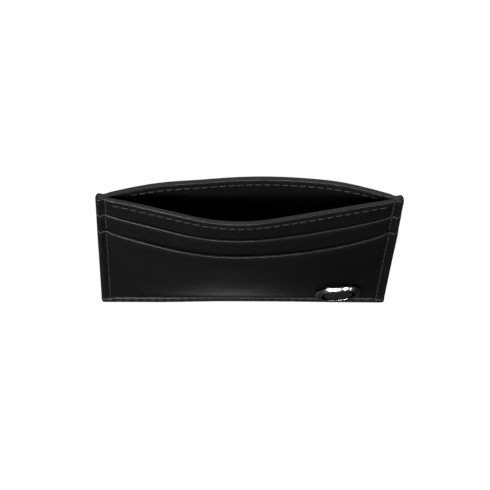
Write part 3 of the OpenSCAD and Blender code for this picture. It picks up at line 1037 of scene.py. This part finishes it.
def finish_emblem(piece, degrees, node):
    """Lays a piece of the emblem on the leather and plates it."""
    pick(piece)
    piece.matrix_world = emblem_place()
    bpy.ops.object.transform_apply(location=True, rotation=True, scale=True)
    smooth_outward(piece, degrees)
    finish_piece(piece, metal_material(), "emblem_metal", node)


class CARDHOLDER_OT_emblem_frame(bpy.types.Operator):
    """Makes the emblem's oval ring with its plate and its two posts"""

    bl_idname = "cardholder.emblem_frame"
    bl_label = "Emblem frame"

    def execute(self, context):
        e = context.scene.holder_emblem
        low, high = e.stand_off, e.stand_off + e.proud
        ring = oval_block("emblem_ring", e.across, e.tall, low, high - e.fall)
        select_parts("FACE", ring.data.polygons, lambda face: face.normal.z > 0.9)
        bpy.ops.mesh.inset(thickness=e.slope, depth=0)
        bpy.ops.transform.translate(value=(0, 0, e.fall))
        bpy.ops.mesh.inset(thickness=e.ring - e.slope, depth=0)
        bpy.ops.mesh.extrude_region_move(TRANSFORM_OT_translate={"value": (0, 0, e.plate - e.proud)})
        bpy.ops.object.mode_set(mode="OBJECT")
        soften(ring, 0.2 * MM, 8, 20)
        # Painted shade on the plate and at the foot of the ring
        set_recess_shade(ring, low + e.plate + 0.25 * MM, 0.2 * MM)
        thick, foot, sunk = 1 * MM, -0.64 * MM, 0.1 * MM
        posts = []
        for hand in (-1, 1):
            post = oval_block(f"emblem_post_{hand}", thick, thick, foot, low + sunk, 24)
            move_points(post, points_of(post) + [hand * e.post_gap / 2, 0, 0])
            posts.append(post)
        finish_emblem(join("emblem_oval_ring", [ring, *posts]), 35, "emblem_frame")
        return {"FINISHED"}


class CARDHOLDER_OT_emblem_boss(bpy.types.Operator):
    """Makes the domed boss in the middle of the emblem"""

    bl_idname = "cardholder.emblem_boss"
    bl_label = "Emblem boss"

    def execute(self, context):
        e = context.scene.holder_emblem
        gap = 1 * MM
        across, tall = (outside - 2 * (e.ring + gap) for outside in (e.across, e.tall))
        low = e.stand_off + e.plate
        boss = oval_block("emblem_oval_boss", across, tall, low, low + e.boss)
        soften(boss, 1 * MM, 10, 40)
        # Painted shade at the foot of the boss, down by the plate
        set_recess_shade(boss, low + 0.35 * MM, 0.3 * MM)
        finish_emblem(boss, 50, "emblem_boss")
        return {"FINISHED"}


class CARDHOLDER_OT_washer(bpy.types.Operator):
    """Gives the hidden washer behind the pocket leather its metal"""

    bl_idname = "cardholder.washer"
    bl_label = "Washer"

    def execute(self, context):
        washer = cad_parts["emblem_washer"]
        washer.data.materials.clear()
        washer.data.materials.append(washer_material())
        return {"FINISHED"}


# ---------- Materials ----------

BLACK, WHITE = (0, 0, 0, 1), (1, 1, 1, 1)


def rgba(colour, times=1):
    return (*(times * value for value in colour), 1)


class Tree:
    """A short way to write a node tree."""

    def __init__(self, tree):
        self.tree = tree

    def feed(self, socket, value):
        """Links a socket to another one, or sets it to a plain value."""
        if isinstance(value, bpy.types.NodeSocket):
            self.tree.links.new(value, socket)
        else:
            socket.default_value = value

    def add(self, kind, inputs=None, **settings):
        node = self.tree.nodes.new(kind)
        for key, value in settings.items():
            setattr(node, key, value)
        for key, value in (inputs or {}).items():
            self.feed(node.inputs[key], value)
        return node

    def math(self, operation, a, b, clamp=False):
        return self.add("ShaderNodeMath", {0: a, 1: b}, operation=operation, use_clamp=clamp).outputs[0]

    def scaled(self, value, times, clamp=False):
        return self.math("MULTIPLY", value, times, clamp)

    def ramp(self, value, low, high, to_low=0.0, to_high=1.0):
        return self.add("ShaderNodeMapRange", {
            "Value": value, "From Min": low, "From Max": high, "To Min": to_low, "To Max": to_high,
        }).outputs["Result"]

    def spread(self, noise, to_low, to_high):
        """The middle of a noise, where most of it lies, spread from to_low to to_high."""
        return self.ramp(noise, 0.3, 0.7, to_low, to_high)

    def noise(self, vector, scale, detail=2.0, roughness=0.5):
        return self.add("ShaderNodeTexNoise", {
            "Vector": vector, "Scale": scale, "Detail": detail, "Roughness": roughness}).outputs["Fac"]

    def stretched(self, vector, scale):
        return self.add("ShaderNodeMapping", {"Vector": vector, "Scale": scale}).outputs["Vector"]

    def marked(self, name):
        return self.add("ShaderNodeAttribute", attribute_name=name).outputs["Fac"]

    def seen(self):
        """1 for what the camera sees, and 0 for light that bounces."""
        return self.add("ShaderNodeLightPath").outputs["Is Camera Ray"]

    def mix(self, amount, a, b):
        return self.add("ShaderNodeMix", {0: amount, 6: a, 7: b}, data_type="RGBA").outputs[2]

    def shades(self, amount, colour, darkest, lightest):
        """One colour, from darkest times it to lightest times it."""
        return self.mix(amount, rgba(colour, darkest), rgba(colour, lightest))


class Surface(Tree):
    """A material with its Principled shader, whose constants are set on the shader itself."""

    def __init__(self, name, **constants):
        self.material = bpy.data.materials.new(name)
        self.material.use_nodes = True
        super().__init__(self.material.node_tree)
        self.shader = self.tree.nodes["Principled BSDF"]
        for socket, value in constants.items():
            self.shader.inputs[socket.replace("_", " ")].default_value = value
        self.place = self.add("ShaderNodeTexCoord").outputs["Object"]

    def wear(self, colour, roughness, height=None, depth=0.0):
        """Feeds the shader its colour and roughness, and raises the surface by height times depth."""
        self.feed(self.shader.inputs["Base Color"], colour)
        self.feed(self.shader.inputs["Roughness"], roughness)
        if height is not None:
            bump = self.add("ShaderNodeBump", {"Height": height, "Distance": depth, "Strength": 1.0})
            self.feed(self.shader.inputs["Normal"], bump.outputs["Normal"])


def made_once(name, **constants):
    """Turns a function that dresses a surface into one that makes its material once and then finds it."""
    def wrap(dress):
        def material():
            if name not in bpy.data.materials:
                dress(Surface(name, **constants), bpy.context.scene.holder_finish)
            return bpy.data.materials[name]

        return material

    return wrap


def effect(name, inputs, outputs, build):
    """A shader node group that is built once and used by many materials."""
    tree = bpy.data.node_groups.get(name)
    if tree:
        return tree
    tree = bpy.data.node_groups.new(name, "ShaderNodeTree")
    for socket, kind, value in inputs:
        made = tree.interface.new_socket(name=socket, in_out="INPUT", socket_type=f"NodeSocket{kind}")
        if value is not None:
            made.default_value = value
    for socket, kind in outputs:
        tree.interface.new_socket(name=socket, in_out="OUTPUT", socket_type=f"NodeSocket{kind}")
    build(Tree(tree), tree.nodes.new("NodeGroupInput").outputs, tree.nodes.new("NodeGroupOutput").inputs)
    return tree


def calf_grain():
    """Pebbles with creases between them, pores, and slow mottling, as heights and masks from 0 to 1."""
    def build(tree, given, wanted):
        place, pebbles = given["Vector"], given["Pebbles"]
        cells = tree.add("ShaderNodeTexVoronoi", {
            "Vector": place, "Scale": pebbles, "Randomness": 0.9}, feature="DISTANCE_TO_EDGE")
        domes = tree.ramp(cells.outputs["Distance"], 0.0, 0.32)
        fine = tree.noise(place, tree.scaled(pebbles, 3.1), 3, 0.6)
        slow = tree.noise(place, 70, 3, 0.55)
        pebbly = tree.scaled(domes, tree.ramp(slow, 0.35, 0.65, 0.45, 1))
        height = tree.math("ADD", tree.scaled(pebbly, 0.7), tree.scaled(fine, 0.3))
        tree.feed(wanted["Height"], height)
        tree.feed(wanted["Pores"], tree.ramp(fine, 0.3, 0.42, 1, 0))
        tree.feed(wanted["Mottle"], slow)

    return effect(
        "Calf grain",
        [("Vector", "Vector", None), ("Pebbles", "Float", 2000.0)],
        [("Height", "Float"), ("Pores", "Float"), ("Mottle", "Float")],
        build)


def rubbed_surface():
    """Lightens and polishes a surface where it is rubbed, in broken patches."""
    def build(tree, given, wanted):
        broken = tree.ramp(tree.noise(given["Vector"], 900, 4, 0.65), 0.35, 0.7)
        amount = tree.scaled(given["Rub"], broken, clamp=True)
        drift = tree.spread(tree.noise(given["Vector"], 45), -1, 1)
        varied = tree.math("ADD", given["Roughness"], tree.scaled(drift, given["Drift"]))
        polished = tree.math("SUBTRACT", varied, tree.scaled(amount, given["Polish"]), clamp=True)
        tree.feed(wanted["Color"], tree.mix(amount, given["Color"], given["Rubbed"]))
        tree.feed(wanted["Roughness"], polished)

    return effect(
        "Rubbed surface",
        [("Vector", "Vector", None), ("Rub", "Float", 0.0), ("Color", "Color", None),
         ("Rubbed", "Color", None), ("Roughness", "Float", 0.5), ("Drift", "Float", 0.04),
         ("Polish", "Float", 0.1)],
        [("Color", "Color"), ("Roughness", "Float")],
        build)


def dress_as_hide(hide, base, rubbed, rough, depth, pebble, drift):
    """A dyed leather with pebbles, pores, mottling and rubbed edges."""
    grain = hide.add("ShaderNodeGroup", {"Vector": hide.place, "Pebbles": 1 / pebble}, node_tree=calf_grain())
    pitted = hide.mix(hide.scaled(grain.outputs["Pores"], 0.5), rgba(base), BLACK)
    mottle = hide.ramp(grain.outputs["Mottle"], 0.4, 0.7, 0, 0.35)
    worn = hide.add("ShaderNodeGroup", {
        "Vector": hide.place, "Rub": hide.marked("rub"), "Color": hide.mix(mottle, pitted, rgba(base, 1.5)),
        "Rubbed": rgba(rubbed), "Roughness": rough, "Drift": drift, "Polish": 0.1,
    }, node_tree=rubbed_surface())
    hide.wear(worn.outputs["Color"], worn.outputs["Roughness"], grain.outputs["Height"], depth)


@made_once("Calf leather", Specular_IOR_Level=0.4)
def leather_material(hide, finish):
    dress_as_hide(hide, finish.leather, finish.rubbed, 0.4, 0.03 * MM, finish.pebble, 0.05)


@made_once("Lining leather", Specular_IOR_Level=0.18)
def lining_material(hide, finish):
    dress_as_hide(hide, finish.lining, finish.rubbed, 0.62, 0.02 * MM, finish.pebble * 0.7, 0.04)


@made_once("Edge paint", Specular_IOR_Level=0.5)
def paint_material(paint, finish):
    """Burnished edge paint: satin, a little uneven, with fine drag marks."""
    drag = paint.noise(paint.place, 1400, 3, 0.6)
    slow = paint.noise(paint.place, 260)
    colour = paint.shades(paint.ramp(drag, 0.35, 0.7), finish.paint, 1, 1.8)
    paint.wear(colour, paint.spread(slow, 0.18, 0.3), paint.math("ADD", drag, slow), 0.02 * MM)


@made_once("Waxed thread", Specular_IOR_Level=0.5)
def thread_material(thread, finish):
    """Waxed thread: two strands twisted round each other, with a soft fuzz."""
    strands = thread.add("ShaderNodeTexWave", {
        "Vector": thread.place, "Scale": 900.0, "Distortion": 1.5, "Detail": 1.0,
    }, bands_direction="DIAGONAL").outputs["Fac"]
    fuzz = thread.noise(thread.place, 7000, 3, 0.6)
    height = thread.math("ADD", strands, thread.scaled(fuzz, 0.3))
    colour = thread.shades(strands, finish.thread, 0.45, 1.3)
    thread.wear(colour, thread.spread(fuzz, 0.38, 0.55), height, 0.05 * MM)


@made_once("Slot twill", Specular_IOR_Level=0.2)
def fabric_material(twill, finish):
    """A fine twill, whose ribs run slantwise on the flat pattern."""
    ribs = twill.add("ShaderNodeTexWave", {
        "Vector": twill.add("ShaderNodeUVMap").outputs["UV"], "Scale": 0.1 / finish.weave / 3,
        "Distortion": 0.4,
    }, bands_direction="DIAGONAL").outputs["Fac"]
    slubs = twill.noise(twill.place, 2600, 3, 0.6)
    height = twill.math("ADD", ribs, twill.scaled(slubs, 0.5))
    twill.wear(twill.shades(ribs, finish.fabric, 0.5, 1), twill.spread(slubs, 0.7, 0.9), height, 0.04 * MM)


@made_once("Fibre board", Specular_IOR_Level=0.2)
def board_material(board, finish):
    """Bonded fibre board: short fibres pressed flat."""
    fibres = board.noise(board.stretched(board.place, (1, 1, 0.25)), 3000, 4, 0.7)
    colour = board.shades(fibres, finish.board, 0.6, 1.3)
    board.wear(colour, board.spread(fibres, 0.8, 0.95), fibres, 0.03 * MM)


@made_once("Polished plate", Metallic=1.0)
def metal_material(plate, finish):
    """Polished plate, near black with painted shade in its recess, with hairline scratches and a haze; it
    throws no light back.
    """
    haze = plate.noise(plate.place, 350, 3, 0.6)
    scratched = plate.noise(plate.stretched(plate.place, (1, 1, 14)), 900)
    hairlines = plate.ramp(scratched, 0.62, 0.68)
    bright = plate.shades(haze, finish.metal, 0.85, 1.1)
    # Painted shade: near black down in the recess, where the plate shows between ring and boss
    recess_shaded = plate.mix(plate.marked("recess"), bright, (0.03, 0.03, 0.03, 1))
    rough = plate.math("ADD", plate.spread(haze, 0.1, 0.17), plate.scaled(hairlines, 0.08))
    plate.wear(plate.mix(plate.seen(), BLACK, recess_shaded), rough, hairlines, 0.002 * MM)


@made_once("Washer steel", Metallic=1.0)
def washer_material(steel, finish):
    """Plain brushed steel."""
    brushed = steel.noise(steel.stretched(steel.place, (0.1, 1, 1)), 4000, 3, 0.6)
    colour = steel.mix(brushed, (0.35, 0.35, 0.36, 1), (0.6, 0.6, 0.61, 1))
    steel.wear(colour, steel.spread(brushed, 0.3, 0.5))


# ---------- Stage ----------

def soft_box(name, azimuth, elevation, size, power):
    """A rectangular soft light one metre off that faces the holder, azimuth to the right of its front."""
    a, e = radians(azimuth), radians(elevation)
    target = Vector((0, 0, bpy.context.scene.holder_size.height / 2))
    place = target + Vector((cos(e) * sin(a), -cos(e) * cos(a), sin(e)))
    clear_selection()
    bpy.ops.object.light_add(type="AREA", location=place)
    lamp = named(name)
    lamp.data.shape = "RECTANGLE"
    lamp.data.size, lamp.data.size_y = size
    lamp.data.energy = power
    lamp.rotation_euler = (target - place).to_track_quat("-Z", "Y").to_euler()


def floor_material(look):
    """A pale floor that is white to the eye, and a dimmer painted glow in what it throws back on the leather:
    brighter on the left, with a painted pool of light right in front of the foot.
    """
    floor = Surface("Pale floor", Specular_IOR_Level=0.1)
    floor.wear(floor.mix(floor.noise(floor.place, 60), rgba([0.78] * 3), rgba([0.82] * 3)), 0.8)
    white = floor.add("ShaderNodeEmission", {"Color": WHITE, "Strength": 1.1})
    looks = floor.add("ShaderNodeMixShader", {0: 0.9, 1: floor.shader.outputs[0], 2: white.outputs[0]})
    # A painted pool of light: an oval spot right in front of the foot glows the most
    squeezed = floor.add("ShaderNodeMapping", {
        "Vector": floor.place, "Location": (0.15, 0.6, 0), "Scale": (27, 200, 1)})
    painted_pool = floor.add(
        "ShaderNodeTexGradient", {"Vector": squeezed.outputs[0]}, gradient_type="QUADRATIC_SPHERE")
    across = floor.add("ShaderNodeSeparateXYZ", {"Vector": floor.place}).outputs["X"]
    # Painted falloff of the glow: brighter on the left than on the right
    base = floor.ramp(across, -0.05, 0.05, 1.5 * look.bounce, 0.4 * look.bounce)
    painted_glow_strength = floor.math("ADD", base, floor.scaled(painted_pool.outputs["Fac"], look.pool))
    # The floor glows with this painted light for rays that bounce, though it is no lamp
    painted_glow = floor.add("ShaderNodeEmission", {"Color": WHITE, "Strength": painted_glow_strength})
    mixed = floor.add("ShaderNodeMixShader", {0: floor.seen(), 1: painted_glow.outputs[0], 2: looks.outputs[0]})
    floor.feed(floor.tree.nodes["Material Output"].inputs["Surface"], mixed.outputs[0])
    return floor.material


class CARDHOLDER_OT_stage(bpy.types.Operator):
    """Sets the floor, the soft lights and the camera"""

    bl_idname = "cardholder.stage"
    bl_label = "Stage"

    def execute(self, context):
        scene, look = context.scene, context.scene.holder_stage
        clear_selection()
        bpy.ops.mesh.primitive_plane_add(size=3, location=(0, 0, 0))
        floor = context.object
        floor.name = "floor"
        floor.data.materials.append(floor_material(look))
        soft_box("front_left", -38, 32, (0.5, 0.2), look.key)
        soft_box("front", 0, 32, (0.4, 0.16), 0.38 * look.key)
        soft_box("front_right", 36, 32, (0.4, 0.16), 0.16 * look.key)
        soft_box("high_back", 180, 61, (1.2, 0.7), look.back)
        soft_box("low_right", 56, 16, (0.12, 0.12), look.spark)
        world = scene.world or bpy.data.worlds.new("Studio")
        scene.world = world
        world.use_nodes = True
        tree = Tree(world.node_tree)
        background = world.node_tree.nodes["Background"]
        tree.feed(background.inputs["Strength"], tree.ramp(tree.seen(), 0, 1, look.sky, 1))
        tree.feed(background.inputs["Color"], WHITE)
        self.place_camera(context, look)
        scene.view_settings.view_transform = "Standard"
        return {"FINISHED"}

    def place_camera(self, context, look):
        a, e, r = look.azimuth, look.elevation, look.roll
        back = Vector((sin(a) * cos(e), -cos(a) * cos(e), sin(e)))
        level = Vector((cos(a), sin(a), 0))
        upright = back.cross(level)
        right = level * cos(r) + upright * sin(r)
        up = upright * cos(r) - level * sin(r)
        clear_selection()
        bpy.ops.object.camera_add(location=look.camera)
        camera = context.object
        turned = Matrix((right, up, back)).transposed().to_4x4()
        camera.matrix_world = Matrix.Translation(look.camera) @ turned
        camera.data.lens = look.lens
        camera.data.sensor_width = 36
        camera.data.clip_start, camera.data.clip_end = 0.01, 20
        context.scene.camera = camera


# ---------- Add-on ----------

PIECES = (
    CARDHOLDER_OT_walls, CARDHOLDER_OT_linings, CARDHOLDER_OT_stiffeners, CARDHOLDER_OT_slot_fabrics,
    CARDHOLDER_OT_slot_panels, CARDHOLDER_OT_pockets, CARDHOLDER_OT_rim_threads,
    CARDHOLDER_OT_slot_threads, CARDHOLDER_OT_seam_threads, CARDHOLDER_OT_rim_coats,
    CARDHOLDER_OT_side_coats, CARDHOLDER_OT_foot_coat, CARDHOLDER_OT_emblem_frame,
    CARDHOLDER_OT_emblem_boss, CARDHOLDER_OT_washer, CARDHOLDER_OT_stage,
)
GROUPS = {
    "holder_size": HolderSize, "holder_stitch": StitchSize, "holder_emblem": EmblemSize,
    "holder_finish": Finish, "holder_stage": StageLook,
}


class CARDHOLDER_PT_pieces(bpy.types.Panel):
    """Lists the sizes and the pieces"""

    bl_label = "Card Holder"
    bl_idname = "CARDHOLDER_PT_pieces"
    bl_space_type = "VIEW_3D"
    bl_region_type = "UI"
    bl_category = "Card Holder"

    def draw(self, context):
        for name, group in GROUPS.items():
            box = self.layout.box()
            box.label(text=group.__doc__)
            for key in group.__annotations__:
                box.prop(getattr(context.scene, name), key)
        for piece in PIECES:
            self.layout.operator(piece.bl_idname)


def register():
    for group in GROUPS.values():
        bpy.utils.register_class(group)
    for name, group in GROUPS.items():
        setattr(bpy.types.Scene, name, PointerProperty(type=group))
    for piece in PIECES:
        bpy.utils.register_class(piece)
    bpy.utils.register_class(CARDHOLDER_PT_pieces)


def unregister():
    bpy.utils.unregister_class(CARDHOLDER_PT_pieces)
    for piece in reversed(PIECES):
        bpy.utils.unregister_class(piece)
    for name, group in GROUPS.items():
        delattr(bpy.types.Scene, name)
        bpy.utils.unregister_class(group)


def main():
    register()
    for piece in PIECES:
        group, name = piece.bl_idname.split(".")
        getattr(getattr(bpy.ops, group), name)()


if __name__ == "__main__":
    main()
